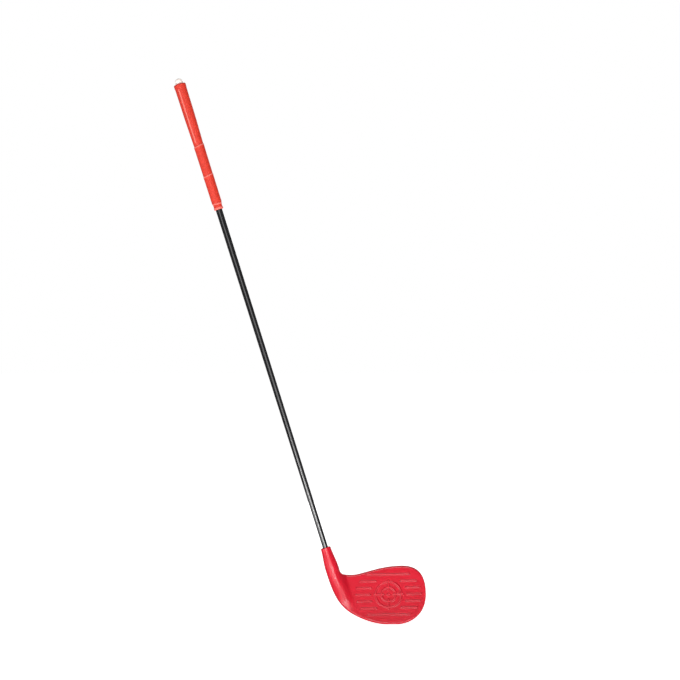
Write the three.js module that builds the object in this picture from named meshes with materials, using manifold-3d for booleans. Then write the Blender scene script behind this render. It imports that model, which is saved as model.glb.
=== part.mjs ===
// A left-handed beginner's golf club of the hybrid kind, standing as it is held at address.
// Millimetres. X runs from heel to toe, Y from the strike face to the back, Z is up, and the
// sole's flat rests on Z = 0. Pieces that touch are drawn with a small gap between them.

import * as THREE from 'three';
import { mergeVertices } from 'three/addons/utils/BufferGeometryUtils.js';
import Module from 'manifold-3d';

const wasm = await Module();
wasm.setup();

const { degToRad, lerp } = THREE.MathUtils;

const GAP = 0.3;
const ROUND_SEGMENTS = 36;

// The shaft leans towards the heel. Places along it are measured from where its centre line
// would meet the ground.
const LEAN = degToRad(17.5);
const SHAFT_FOOT_X = -68;

// Head, seen from the front
const SOLE_FLAT_CUT = 0.8;
const HEAD_TOP = new THREE.Vector2(17, 91.4);
const HEAD_TOE = new THREE.Vector2(54.3, 46.5);
const SOLE_LOW = new THREE.Vector2(0, -SOLE_FLAT_CUT);
const CROTCH = new THREE.Vector2(-65.5, 77);
const HEEL = new THREE.Vector2(-71, 21);
const HEEL_SLOPE = degToRad(37);

// Head, seen from above and from the toe
const LOFT = degToRad(14);
const LEADING_EDGE_Y = -14;
const FACE_EDGE = 3.5;
const BACK_Y = 48;
const BACK_X = 2;
const BACK_REACH_TO_HEEL = 90;
const BACK_SAG = 0.3;
const HEAD_WALL = 3;
const HOLLOW_START = 1.55;
const HOLLOW_END = 3.6;

// Face plate and its raised lines
const PLATE_THICKNESS = 4.5;
const PLATE_SEAM_OFFSET = 18.5;
const PLATE_ROOM = 80;
const TARGET_X = -5.5;
const TARGET_Z = 46.8;
const RELIEF_TILT = degToRad(1.2);
const RELIEF_HEIGHT = 0.9;
const RELIEF_SINK = 0.5;
const RELIEF_FLANK = 0.6 * RELIEF_HEIGHT;
const RIDGE_WIDTH = 2.2;
const ROWS_EACH_SIDE = 3;
const ROW_PITCH = 10.8;
const ROW_REACH = 52.5;
const CLEAR_RADIUS = 29;
const RING_RADII = [20.5, 11.3];
const RING_WIDTH = 2.8;
const ARM_WIDTH = 2.8;
const ARM_START = 8;
const ARM_END = 23.5;
const CENTRE_DOT_RADIUS = 2.4;
const CENTRE_DOT_FLANK = 0.5;

// Hosel and what is inside it
const HOSEL_TOP = 127.5;
const HOSEL_TOP_RADIUS = 8.1;
const HOSEL_RADIUS = 10.9;
const HOSEL_FLARE_LENGTH = 35;
const HOSEL_BULGE_REACH = 18;
const HOSEL_BULGE_TOP = 72;
const HOSEL_BULGE_END = 4;
const BORE_RADIUS = 5.9;
const BORE_BOTTOM = 75.7;
const MOUTH_RADIUS = 6.6;
const BUSH_BOTTOM = BORE_BOTTOM + GAP;
const BUSH_FLOOR = 2.5;
const BUSH_TOP = HOSEL_TOP - 0.8;

// Swing weight
const WEIGHT_X = -5;
const WEIGHT_Y = 14;
const WEIGHT_RADIUS = 12.7;
const WEIGHT_HEIGHT = 10;
const WEIGHT_SEAT_Z = 8.2;
const WEIGHT_CUP_WALL = 2.5;
const WEIGHT_CUP_RIM_Z = 15;

// Shaft
const SHAFT_TIP = BUSH_BOTTOM + BUSH_FLOOR + GAP;
const SHAFT_BUTT = 901;
const SHAFT_TIP_RADIUS = 4.25;
const SHAFT_BUTT_RADIUS = 5.8;
const SHAFT_WALL = 0.7;
const TIP_PLUG_LENGTH = 14;
const BUTT_PLUG_LENGTH = 16;
const STEM_RADIUS = 2.6;

// Grip
const GRIP_MOUTH = 694.5;
const COLLAR_TOP = 705;
const LOWER_JOINT = 752;
const UPPER_JOINT = 802;
const GRIP_TOP = 905;
const GRIP_WEB = GRIP_TOP - SHAFT_BUTT - GAP;
const JOINT_TILT = degToRad(9);
const HAND_SLEEVE_FOOT_RADIUS = 8.2;
const MIDDLE_SLEEVE_TOP_RADIUS = 8.6;
const LOWER_SLEEVE_TOP_RADIUS = 8.5;
const TAPE_THICKNESS = 0.5;
const RIB_ANGLE = degToRad(-22);
const RIB_RADIUS = 1.5;
const RIB_SINK = 0.7;
const CAP_RADIUS = 6.2;
const CAP_APEX = 914;
const CAP_STEM_LENGTH = 14;

// Solids ---------------------------------------------------------------------------------------

function solidFrom(geometry) {
  const bare = geometry.clone();
  bare.deleteAttribute('normal');
  bare.deleteAttribute('uv');
  const merged = mergeVertices(bare, 1e-4);
  const mesh = new wasm.Mesh({
    numProp: 3,
    vertProperties: new Float32Array(merged.attributes.position.array),
    triVerts: new Uint32Array(merged.index.array),
  });
  return new wasm.Manifold(mesh);
}

function geometryFrom(solid) {
  const mesh = solid.getMesh();
  const geometry = new THREE.BufferGeometry();
  geometry.setAttribute('position', new THREE.BufferAttribute(mesh.vertProperties, 3));
  geometry.setIndex(new THREE.BufferAttribute(mesh.triVerts, 1));
  geometry.computeVertexNormals();
  return geometry;
}

// A box given by its two corners.
function boxSolid(low, high) {
  const size = high.clone().sub(low);
  const centre = low.clone().add(high).multiplyScalar(0.5);
  const geometry = new THREE.BoxGeometry(size.x, size.y, size.z);
  geometry.translate(centre.x, centre.y, centre.z);
  return solidFrom(geometry);
}

function uprightCylinder(radius, lowZ, highZ, x, y) {
  const geometry = new THREE.CylinderGeometry(radius, radius, highZ - lowZ, ROUND_SEGMENTS);
  geometry.rotateX(Math.PI / 2);
  geometry.translate(x, y, (lowZ + highZ) / 2);
  return solidFrom(geometry);
}

// The shaft's own frame: its Z runs up the shaft, its Y to the back.
const shaftFrame = new THREE.Matrix4()
  .makeTranslation(SHAFT_FOOT_X, 0, 0)
  .multiply(new THREE.Matrix4().makeRotationY(-LEAN));

// The face's own frame: X to the toe, Y up the face, Z straight out of it.
const faceFrame = new THREE.Matrix4()
  .makeTranslation(TARGET_X, faceY(TARGET_Z), TARGET_Z)
  .multiply(new THREE.Matrix4().makeRotationX(Math.PI / 2 - LOFT))
  .multiply(new THREE.Matrix4().makeRotationZ(RELIEF_TILT));

// A body of revolution about the shaft's line, from [radius, place along the shaft] points
// listed anticlockwise with the radius to the right.
function turnedSolid(profile) {
  const points = profile.map(([radius, place]) => new THREE.Vector2(radius, place));
  const geometry = new THREE.LatheGeometry(points, ROUND_SEGMENTS);
  geometry.rotateX(Math.PI / 2);
  geometry.applyMatrix4(shaftFrame);
  return solidFrom(geometry);
}

// A tube whose inner and outer radii are functions of the place along the shaft.
function tubeSolid(inner, outer, places) {
  const upOutside = places.map((place) => [outer(place), place]);
  const downInside = [...places].reverse().map((place) => [inner(place), place]);
  return turnedSolid([...upOutside, ...downInside, upOutside[0]]);
}

// Head -----------------------------------------------------------------------------------------

// The face leans back by the loft from the leading edge.
function faceY(z) {
  return LEADING_EDGE_Y + Math.tan(LOFT) * z;
}

// The head's outline from the front is two edges that run from the hosel to the toe. Each has four
// spans, and the spans of one match the other's: hosel, heel, body and toe.
function outlineSpans() {
  const down = new THREE.Vector2(Math.sin(LEAN), -Math.cos(LEAN));
  const across = new THREE.Vector2(Math.cos(LEAN), Math.sin(LEAN));
  const alongSole = new THREE.Vector2(Math.cos(HEEL_SLOPE), -Math.sin(HEEL_SLOPE));
  const toeward = new THREE.Vector2(1, 0);
  const upward = new THREE.Vector2(0, 1);
  const hosel = (place, offset) => new THREE.Vector2(SHAFT_FOOT_X, 0)
    .addScaledVector(down, -place)
    .addScaledVector(across, offset);
  const hoselLow = HOSEL_TOP - HOSEL_FLARE_LENGTH;
  const span = (from, fromWay, fromPull, to, toWay, toPull) => new THREE.CubicBezierCurve(
    from,
    from.clone().addScaledVector(fromWay, fromPull),
    to.clone().addScaledVector(toWay, -toPull),
    to,
  );
  const edge = (side, corner, cornerWay, pulls, far) => {
    const rim = hosel(HOSEL_TOP, side * HOSEL_TOP_RADIUS);
    const low = hosel(hoselLow, side * HOSEL_RADIUS);
    const third = HOSEL_FLARE_LENGTH / 3;
    return [
      span(rim, down, third, low, down, third),
      span(low, down, pulls[0], corner, cornerWay, pulls[1]),
      span(corner, cornerWay, pulls[2], far, toeward, pulls[3]),
      span(far, toeward, pulls[4], HEAD_TOE, upward, side * -pulls[5]),
    ];
  };
  return {
    top: edge(1, CROTCH, toeward, [8, 19, 18, 39, 31, 24], HEAD_TOP),
    bottom: edge(-1, HEEL, alongSole, [31, 23, 14, 33, 38, 25], SOLE_LOW),
  };
}

const outline = outlineSpans();

function onEdge(edge, station) {
  const span = Math.min(Math.floor(station), edge.length - 1);
  return edge[span].getPoint(station - span);
}

// How far the hosel's round front stands out of the face where it runs on down the heel. Across
// the shaft's line it falls off in a curve that starts round and ends flush with the face.
function hoselBulge(x, z) {
  const toeward = (x - SHAFT_FOOT_X) * Math.cos(LEAN) + z * Math.sin(LEAN);
  const upShaft = z * Math.cos(LEAN) - (x - SHAFT_FOOT_X) * Math.sin(LEAN);
  const offset = Math.min(Math.abs(toeward) / HOSEL_BULGE_REACH, 1);
  const fall = 0.575 * offset ** 2 + 1.85 * offset ** 4 - 1.425 * offset ** 6;
  const fade = THREE.MathUtils.smoothstep(upShaft, HOSEL_BULGE_END, HOSEL_BULGE_TOP);
  return Math.max(faceY(z) + HOSEL_RADIUS, 0) * fade * (1 - fall);
}

// How far back the head reaches above a place between heel and toe.
function backReach(x) {
  const reach = x > BACK_X ? HEAD_TOE.x - BACK_X : BACK_REACH_TO_HEEL;
  const share = Math.min(Math.abs(x - BACK_X) / reach, 1);
  const start = faceY(HEAD_TOE.y) + FACE_EDGE;
  return lerp(start, BACK_Y, Math.sqrt(1 - share ** 2.2));
}

const BACK_STEPS = 16;
const CORNER_STEPS = 3;
const FACE_STEPS = 8;
const FRONT_STEPS = FACE_STEPS + 2 * CORNER_STEPS;

// One cross-section of the head, a closed loop from the top edge round the back to the bottom edge
// and up the face. Up the hosel it is round; from the heel on it takes the body's shape, flat in
// front and bulging behind.
function sectionLoop(station, wall) {
  const top = onEdge(outline.top, station);
  const bottom = onEdge(outline.bottom, station);
  const middle = top.clone().add(bottom).multiplyScalar(0.5);
  const half = top.distanceTo(bottom) / 2 - wall;
  const roundDepth = Math.min(half, HOSEL_RADIUS - wall);
  const topward = top.clone().sub(bottom).normalize();
  const bodyShare = THREE.MathUtils.smoothstep(station, 1, 1.95);
  const edge = Math.min(FACE_EDGE, half);
  const front = wall > 0 ? PLATE_THICKNESS : 0;

  const place = (along, roundY, bodyY) => {
    const point = middle.clone().addScaledVector(topward, along);
    const y = lerp(roundY, bodyY(point.x, point.y), bodyShare);
    return new THREE.Vector3(point.x, y, point.y);
  };

  const loop = [];
  for (let step = 0; step < BACK_STEPS; step += 1) {
    const turn = (Math.PI * step) / BACK_STEPS;
    const depth = Math.sin(turn) ** 0.9;
    const sag = BACK_SAG * bodyShare * Math.sin(turn) ** 2;
    const bodyY = (x, z) => lerp(
      faceY(z) + edge + front - hoselBulge(x, z),
      backReach(middle.x) - wall,
      depth,
    );
    loop.push(place(half * (Math.cos(turn) - sag), roundDepth * Math.sin(turn), bodyY));
  }
  for (let step = 0; step < FRONT_STEPS; step += 1) {
    const turn = Math.PI * (1 + step / FRONT_STEPS);
    const fromEnd = Math.min(step, FRONT_STEPS - step) / CORNER_STEPS;
    const corner = (Math.PI / 2) * Math.min(fromEnd, 1);
    const side = step < FRONT_STEPS / 2 ? -1 : 1;
    const flatShare = fromEnd < 1 ? side : lerp(-1, 1, (step - CORNER_STEPS) / FACE_STEPS);
    const bodyAlong = flatShare * (half - edge) + (fromEnd < 1 ? side * edge * Math.cos(corner) : 0);
    const bodyY = (x, z) => faceY(z) + front + edge * (1 - Math.sin(corner)) - hoselBulge(x, z);
    const along = lerp(half * Math.cos(turn), bodyAlong, bodyShare);
    loop.push(place(along, roundDepth * Math.sin(turn), bodyY));
  }
  return loop;
}

// Joins matching loops into a closed solid with flat ends.
function loftedSolid(loops) {
  const count = loops[0].length;
  const centres = [loops[0], loops.at(-1)].map((loop) => loop
    .reduce((sum, vertex) => sum.add(vertex), new THREE.Vector3())
    .divideScalar(count));
  const vertices = [...loops.flat(), ...centres];
  const [firstCentre, lastCentre] = [vertices.length - 2, vertices.length - 1];
  const lastLoop = (loops.length - 1) * count;
  const triangles = [];
  for (let side = 0; side < count; side += 1) {
    const next = (side + 1) % count;
    triangles.push(firstCentre, side, next);
    triangles.push(lastCentre, lastLoop + next, lastLoop + side);
    for (let start = 0; start < lastLoop; start += count) {
      triangles.push(start + side, start + count + side, start + next);
      triangles.push(start + next, start + count + side, start + count + next);
    }
  }
  const geometry = new THREE.BufferGeometry().setFromPoints(vertices);
  geometry.setIndex(triangles);
  return solidFrom(geometry);
}

function stationsBetween(from, to, count) {
  return Array.from({ length: count + 1 }, (_, step) => lerp(from, to, step / count));
}

// Hosel, body and toe in one smooth skin.
function headOutside() {
  const stations = [
    ...stationsBetween(0, 1, 4),
    ...stationsBetween(1.1, 2, 9),
    ...stationsBetween(2.12, 3, 7),
    ...stationsBetween(3.1, 3.9, 8),
    3.96,
    3.995,
  ];
  return loftedSolid(stations.map((station) => sectionLoop(station, 0)));
}

// The space inside the shell, behind the plane where the face plate closes it.
function headHollow() {
  const stations = stationsBetween(HOLLOW_START, HOLLOW_END, 18);
  return loftedSolid(stations.map((station) => sectionLoop(station, HEAD_WALL)));
}

// A prism standing on the face between two heights. It takes in all of the face on the toe side of
// the seam, a line that runs beside the hosel's bulge, parallel to the shaft.
function plateRegion(grow, low, high) {
  const toFace = faceFrame.clone().invert();
  const seamOffset = (PLATE_SEAM_OFFSET - grow) / Math.cos(LEAN);
  const [seamFoot, seamHead] = [-PLATE_ROOM, PLATE_ROOM].map((rise) => {
    const z = TARGET_Z + rise;
    const x = SHAFT_FOOT_X - z * Math.tan(LEAN) + seamOffset;
    return new THREE.Vector3(x, faceY(z), z).applyMatrix4(toFace);
  });
  const shape = new THREE.Shape();
  shape.moveTo(seamFoot.x, seamFoot.y);
  shape.lineTo(PLATE_ROOM, seamFoot.y);
  shape.lineTo(PLATE_ROOM, seamHead.y);
  shape.lineTo(seamHead.x, seamHead.y);
  const geometry = new THREE.ExtrudeGeometry(shape, { depth: high - low, bevelEnabled: false });
  geometry.translate(0, 0, low);
  geometry.applyMatrix4(faceFrame);
  return solidFrom(geometry);
}

function hoselBore() {
  return turnedSolid([
    [0, BORE_BOTTOM],
    [BORE_RADIUS, BORE_BOTTOM],
    [BORE_RADIUS, HOSEL_TOP - 0.7],
    [MOUTH_RADIUS, HOSEL_TOP + 0.1],
    [0, HOSEL_TOP + 0.1],
  ]);
}

// The cup on the inside of the sole that holds the swing weight.
function weightCup(outside) {
  const inner = WEIGHT_RADIUS + GAP;
  const outer = inner + WEIGHT_CUP_WALL;
  const block = uprightCylinder(outer, -1, WEIGHT_CUP_RIM_Z, WEIGHT_X, WEIGHT_Y);
  const seat = uprightCylinder(inner, WEIGHT_SEAT_Z, WEIGHT_CUP_RIM_Z + 1, WEIGHT_X, WEIGHT_Y);
  return block.subtract(seat).intersect(outside);
}

// The head without its inside, cut flat where the sole rests.
function wholeHead() {
  const below = boxSolid(new THREE.Vector3(-200, -100, -20), new THREE.Vector3(200, 100, 0));
  return headOutside().subtract(below);
}

function bodyShell(outside) {
  const hollow = headHollow();
  const plate = plateRegion(GAP, -PLATE_THICKNESS - GAP, 20);
  return outside.subtract(hollow).add(weightCup(outside)).subtract(plate).subtract(hoselBore());
}

// Raised straight line with sloping sides, in the face's own frame.
function ridge(fromX, toX, y, width) {
  const length = toX - fromX;
  const shape = new THREE.Shape();
  shape.absarc(fromX + width / 2, y, width / 2 - RELIEF_FLANK, Math.PI / 2, (3 * Math.PI) / 2);
  shape.absarc(fromX + length - width / 2, y, width / 2 - RELIEF_FLANK, -Math.PI / 2, Math.PI / 2);
  return raised(shape, RELIEF_FLANK, 4);
}

// Lifts a flat shape off the face with a bevelled edge of the given width.
function raised(shape, flank, curveSegments) {
  const geometry = new THREE.ExtrudeGeometry(shape, {
    depth: RELIEF_SINK,
    bevelEnabled: true,
    bevelThickness: RELIEF_HEIGHT,
    bevelSize: flank,
    bevelSegments: 1,
    curveSegments,
  });
  geometry.translate(0, 0, -RELIEF_SINK);
  return geometry;
}

function ringRidge(radius) {
  const shape = new THREE.Shape();
  shape.absarc(0, 0, radius + RING_WIDTH / 2 - RELIEF_FLANK, 0, 2 * Math.PI);
  const hole = new THREE.Path();
  hole.absarc(0, 0, radius - RING_WIDTH / 2 + RELIEF_FLANK, 0, 2 * Math.PI, true);
  shape.holes.push(hole);
  return raised(shape, RELIEF_FLANK, 18);
}

// Half the length of a row of the ridges, which end on an oval.
function rowReach(row) {
  return ROW_REACH * Math.sqrt(1 - (row / (ROWS_EACH_SIDE + 1)) ** 2);
}

// Every raised line on the face: rows that leave a round space clear, and in it a plain target.
function faceRelief() {
  const pieces = [];
  for (let row = -ROWS_EACH_SIDE; row <= ROWS_EACH_SIDE; row += 1) {
    const y = row * ROW_PITCH;
    const reach = rowReach(row);
    if (Math.abs(y) > CLEAR_RADIUS) {
      pieces.push(ridge(-reach, reach, y, RIDGE_WIDTH));
    } else {
      const clear = Math.sqrt(CLEAR_RADIUS ** 2 - y ** 2);
      pieces.push(ridge(-reach, -clear, y, RIDGE_WIDTH), ridge(clear, reach, y, RIDGE_WIDTH));
    }
  }
  pieces.push(...RING_RADII.map(ringRidge));
  for (const quarter of [0, 1, 2, 3]) {
    pieces.push(ridge(ARM_START, ARM_END, 0, ARM_WIDTH).rotateZ((quarter * Math.PI) / 2));
  }
  const dot = new THREE.Shape().absarc(0, 0, CENTRE_DOT_RADIUS - CENTRE_DOT_FLANK, 0, 2 * Math.PI);
  pieces.push(raised(dot, CENTRE_DOT_FLANK, 10));
  return pieces
    .map((geometry) => solidFrom(geometry.applyMatrix4(faceFrame)))
    .reduce((sum, solid) => sum.add(solid));
}

// The plate that closes the shell's open front.
function facePlate(outside) {
  return outside.intersect(plateRegion(0, -PLATE_THICKNESS, 20)).add(faceRelief());
}

function swingWeight() {
  const seat = WEIGHT_SEAT_Z + GAP;
  return uprightCylinder(WEIGHT_RADIUS, seat, seat + WEIGHT_HEIGHT, WEIGHT_X, WEIGHT_Y);
}

// Shaft ----------------------------------------------------------------------------------------

function shaftRadius(place) {
  const share = (place - SHAFT_TIP) / (SHAFT_BUTT - SHAFT_TIP);
  return lerp(SHAFT_TIP_RADIUS, SHAFT_BUTT_RADIUS, share);
}

const shaftInside = (place) => shaftRadius(place) - SHAFT_WALL;

function shaftTube() {
  return tubeSolid(shaftInside, shaftRadius, [SHAFT_TIP, SHAFT_BUTT]);
}

// A cup between the shaft's tip and the hosel's bore.
function hoselBush() {
  const outer = BORE_RADIUS - GAP;
  const floor = BUSH_BOTTOM + BUSH_FLOOR;
  return turnedSolid([
    [0, BUSH_BOTTOM],
    [outer, BUSH_BOTTOM],
    [outer, BUSH_TOP],
    [shaftRadius(BUSH_TOP) + GAP, BUSH_TOP],
    [shaftRadius(floor) + GAP, floor],
    [0, floor],
  ]);
}

function tipPlug() {
  const top = SHAFT_TIP + TIP_PLUG_LENGTH;
  return turnedSolid([
    [0, SHAFT_TIP],
    [shaftInside(SHAFT_TIP) - GAP, SHAFT_TIP],
    [shaftInside(top) - GAP - 0.1, top],
    [0, top],
  ]);
}

function buttPlug() {
  return tubeSolid(
    () => STEM_RADIUS + GAP,
    (place) => shaftInside(place) - GAP,
    [SHAFT_BUTT - BUTT_PLUG_LENGTH, SHAFT_BUTT],
  );
}

// Grip -----------------------------------------------------------------------------------------

const tapeInside = (place) => shaftRadius(place) + GAP;
const tapeOutside = (place) => tapeInside(place) + TAPE_THICKNESS;
const gripInside = (place) => tapeOutside(place) + GAP;

function gripTape() {
  return tubeSolid(tapeInside, tapeOutside, [COLLAR_TOP + GAP, SHAFT_BUTT]);
}

// The part of the shaft's space between two cuts across it, each tilted as seen from the front.
function betweenCuts(low, lowTilt, high, highTilt) {
  const reach = 20;
  const shape = new THREE.Shape([
    new THREE.Vector2(-reach, low - reach * Math.tan(lowTilt)),
    new THREE.Vector2(reach, low + reach * Math.tan(lowTilt)),
    new THREE.Vector2(reach, high + reach * Math.tan(highTilt)),
    new THREE.Vector2(-reach, high - reach * Math.tan(highTilt)),
  ]);
  const geometry = new THREE.ExtrudeGeometry(shape, { depth: 2 * reach, bevelEnabled: false });
  geometry.translate(0, 0, -reach);
  geometry.rotateX(Math.PI / 2);
  geometry.applyMatrix4(shaftFrame);
  return solidFrom(geometry);
}

// The upper sleeve narrows towards its joint, has a rolled edge at the top and a web that closes
// over the shaft's butt, with a hole for the cap's stem.
function upperSleeve() {
  const low = UPPER_JOINT - 5;
  const underWeb = GRIP_TOP - GRIP_WEB;
  const sleeve = turnedSolid([
    [8, low],
    [8.2, UPPER_JOINT + 12],
    [9, UPPER_JOINT + 45],
    [9.4, GRIP_TOP - 8],
    [9.8, GRIP_TOP - 4],
    [9.8, GRIP_TOP - 1.8],
    [9.2, GRIP_TOP - 0.6],
    [8.1, GRIP_TOP],
    [STEM_RADIUS + GAP, GRIP_TOP],
    [STEM_RADIUS + GAP, underWeb],
    [gripInside(underWeb), underWeb],
    [gripInside(low), low],
    [8, low],
  ]);
  return sleeve.add(handRib()).intersect(betweenCuts(UPPER_JOINT + GAP / 2, JOINT_TILT, GRIP_TOP + 1, 0));
}

// A low rib up the front of the upper sleeve, where the hand finds it.
function handRib() {
  const from = UPPER_JOINT + 3;
  const to = GRIP_TOP - 6;
  const along = (radius, place) => new THREE.Vector3(
    radius * Math.sin(RIB_ANGLE),
    -radius * Math.cos(RIB_ANGLE),
    place,
  );
  const start = along(8.1 - RIB_SINK, from);
  const end = along(9.4 - RIB_SINK, to);
  const direction = end.clone().sub(start);
  const geometry = new THREE.CylinderGeometry(RIB_RADIUS, RIB_RADIUS, direction.length(), 16);
  const turn = new THREE.Quaternion().setFromUnitVectors(new THREE.Vector3(0, 1, 0), direction.normalize());
  geometry.applyQuaternion(turn);
  const middle = start.add(end).multiplyScalar(0.5);
  geometry.translate(middle.x, middle.y, middle.z);
  geometry.applyMatrix4(shaftFrame);
  const keepOutside = tubeSolid((place) => gripInside(place) + 0.2, () => 12, [from - 5, to + 5]);
  return solidFrom(geometry).intersect(keepOutside);
}

// A sleeve between two tilted joints, a little fuller at its top edge than below it.
function handSleeve(low, lowTilt, high, topRadius) {
  const margin = 4;
  const sleeve = tubeSolid(
    gripInside,
    (place) => lerp(HAND_SLEEVE_FOOT_RADIUS, topRadius, (place - low) / (high - low)),
    [low - margin, high + margin],
  );
  return sleeve.intersect(betweenCuts(low + GAP / 2, lowTilt, high - GAP / 2, JOINT_TILT));
}

// The narrow collar where the grip ends round the bare shaft, with a bead at its mouth.
function mouthCollar() {
  const top = COLLAR_TOP - GAP / 2;
  const inside = (place) => shaftRadius(place) + GAP;
  return turnedSolid([
    [6.8, GRIP_MOUTH],
    [7.6, GRIP_MOUTH + 0.7],
    [7.6, GRIP_MOUTH + 2.6],
    [7, GRIP_MOUTH + 3.6],
    [7.1, top - 1.5],
    [7.5, top],
    [inside(top), top],
    [inside(GRIP_MOUTH), GRIP_MOUTH],
    [6.8, GRIP_MOUTH],
  ]);
}

// The domed cap sits on the web and its stem goes down into the butt plug.
function endCap() {
  const seat = GRIP_TOP + GAP;
  const domeBase = CAP_APEX - CAP_RADIUS;
  const profile = [
    [0, seat - CAP_STEM_LENGTH],
    [STEM_RADIUS, seat - CAP_STEM_LENGTH],
    [STEM_RADIUS, seat],
    [CAP_RADIUS, seat],
  ];
  const domeSteps = 6;
  for (let step = 0; step <= domeSteps; step += 1) {
    const turn = (step / domeSteps) * (Math.PI / 2);
    profile.push([CAP_RADIUS * Math.cos(turn), domeBase + CAP_RADIUS * Math.sin(turn)]);
  }
  return turnedSolid(profile);
}

// Assembly -------------------------------------------------------------------------------------

const crimson = { color: 0xd22a3c, roughness: 0.45, metalness: 0 };
const orangeRed = { color: 0xec4c42, roughness: 0.6, metalness: 0 };
const gripWhite = { color: 0xf4ece6, roughness: 0.4, metalness: 0 };
const glossBlack = { color: 0x121214, roughness: 0.2, metalness: 0.3 };
const darkPlastic = { color: 0x3a3a3d, roughness: 0.6, metalness: 0 };
const paperTape = { color: 0xcfc7ae, roughness: 0.9, metalness: 0 };
const bareSteel = { color: 0x8f9296, roughness: 0.4, metalness: 1 };

const club = new THREE.Group();
club.name = 'hybrid_golf_club';

function addPiece(name, solid, look) {
  const mesh = new THREE.Mesh(geometryFrom(solid), new THREE.MeshStandardMaterial(look));
  mesh.name = name;
  club.add(mesh);
}

const outside = wholeHead();
addPiece('head_face_plate', facePlate(outside), crimson);
addPiece('head_body_shell', bodyShell(outside), crimson);
addPiece('swing_weight', swingWeight(), bareSteel);
addPiece('hosel_bush', hoselBush(), darkPlastic);
addPiece('shaft_tube', shaftTube(), glossBlack);
addPiece('shaft_tip_plug', tipPlug(), darkPlastic);
addPiece('shaft_butt_plug', buttPlug(), darkPlastic);
addPiece('grip_tape', gripTape(), paperTape);
addPiece('grip_upper_sleeve', upperSleeve(), orangeRed);
const middleSleeve = handSleeve(LOWER_JOINT, JOINT_TILT, UPPER_JOINT, MIDDLE_SLEEVE_TOP_RADIUS);
const lowerSleeve = handSleeve(COLLAR_TOP, 0, LOWER_JOINT, LOWER_SLEEVE_TOP_RADIUS);
addPiece('grip_middle_sleeve', middleSleeve, orangeRed);
addPiece('grip_lower_sleeve', lowerSleeve, orangeRed);
addPiece('grip_mouth_collar', mouthCollar(), orangeRed);
addPiece('grip_end_cap', endCap(), gripWhite);

export default club;
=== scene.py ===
# The looks of a left-handed beginner's golf club of the hybrid kind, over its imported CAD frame.
# Metres in the scene. Lengths below are written in millimetres and scaled by MM.

import math

import bmesh
import bpy
import numpy as np
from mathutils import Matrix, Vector


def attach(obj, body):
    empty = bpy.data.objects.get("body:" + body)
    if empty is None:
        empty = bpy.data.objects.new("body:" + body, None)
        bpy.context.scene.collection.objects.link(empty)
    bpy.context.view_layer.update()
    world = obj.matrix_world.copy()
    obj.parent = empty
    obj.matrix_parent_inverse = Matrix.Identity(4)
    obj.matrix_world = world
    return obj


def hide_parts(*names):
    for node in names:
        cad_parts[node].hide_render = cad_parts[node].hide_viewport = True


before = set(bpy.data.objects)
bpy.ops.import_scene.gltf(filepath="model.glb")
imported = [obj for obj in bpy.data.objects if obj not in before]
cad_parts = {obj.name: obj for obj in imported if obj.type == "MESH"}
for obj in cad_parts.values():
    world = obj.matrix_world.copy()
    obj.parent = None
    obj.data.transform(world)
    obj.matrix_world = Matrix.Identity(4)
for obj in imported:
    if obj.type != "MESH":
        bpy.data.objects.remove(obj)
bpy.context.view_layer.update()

MM = 0.001

# Room between pieces: as in the CAD, and where a joint shows
GAP = 0.3
VISIBLE_GAP = 0.1

# The shaft leans towards the heel. Places along it are measured from where its centre line meets
# the ground.
LEAN = math.radians(17.5)
SHAFT_FOOT_X = -68.0

# Head, seen from the front
SOLE_FLAT_CUT = 0.8
HEAD_TOP = np.array([17.0, 91.4])
HEAD_TOE = np.array([54.28, 46.5])
SOLE_LOW = np.array([0.0, -SOLE_FLAT_CUT])
CROTCH = np.array([-65.5, 77.0])
HEEL = np.array([-71.0, 21.0])
HEEL_SLOPE = math.radians(37)

# Head, seen from above and from the toe
LOFT = math.radians(14)
LEADING_EDGE_Y = -13.88
FACE_EDGE = 3.5
BACK_Y = 47.9
BACK_X = 2.0
BACK_REACH_TO_HEEL = 90.0
BACK_SAG = 0.3
BACK_ROUNDNESS = 2.2
BACK_FULLNESS = 0.9
HEAD_WALL = 3.0

# Stations along the head's outline run from 0 at the hosel's rim to 4 at the toe, one span each.
# Sections turn from the hosel's circle to the head's own shape between 1 and BODY_STATION.
BODY_STATION = 1.95
HOLLOW_START = 1.55
HOLLOW_END = 3.6
TOE_LENGTH = 0.1

# Points of a cross-section round its back, round each corner and over its face
SKIN_STEPS = (64, 7, 220)
HOLLOW_STEPS = (40, 4, 40)

# Face plate and its raised lines
PLATE_THICKNESS = 4.5
PLATE_SEAM_OFFSET = 18.5
PLATE_ROOM = 80.0
PLATE_SEAM = 0.08
PLATE_PRISM_HEIGHT = 20.0
TARGET_X = -5.5
TARGET_Z = 46.8
RELIEF_TILT = math.radians(1.2)
RELIEF_HEIGHT = 0.8
RIDGE_TOP_HALF = 0.6
RIDGE_FOOT_HALF = 1.85
ROWS_EACH_SIDE = 3
ROW_PITCH = 10.8
ROW_REACH = 52.5
CLEAR_RADIUS = 29.0
RING_RADII = (20.5, 11.3)
ARM_START = 8.0
ARM_END = 22.5
CENTRE_DOT_RADIUS = 1.2

# Hosel and its bore
HOSEL_TOP = 127.5
HOSEL_TOP_RADIUS = 8.1
HOSEL_RADIUS = 10.9
HOSEL_FLARE_LENGTH = 35.0
RIM_ROUNDING = 1.0
HOSEL_BULGE_REACH = 18.0
HOSEL_BULGE_TOP = 72.0
HOSEL_BULGE_END = 4.0
HOSEL_BULGE_ROUNDNESS = 0.575
BORE_RADIUS = 5.9
BORE_BOTTOM = 75.7
MOUTH_RADIUS = 6.6
MOUTH_DEPTH = 0.9
BORE_OVERRUN = 0.1
BUSH_FLOOR = 2.5

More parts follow.
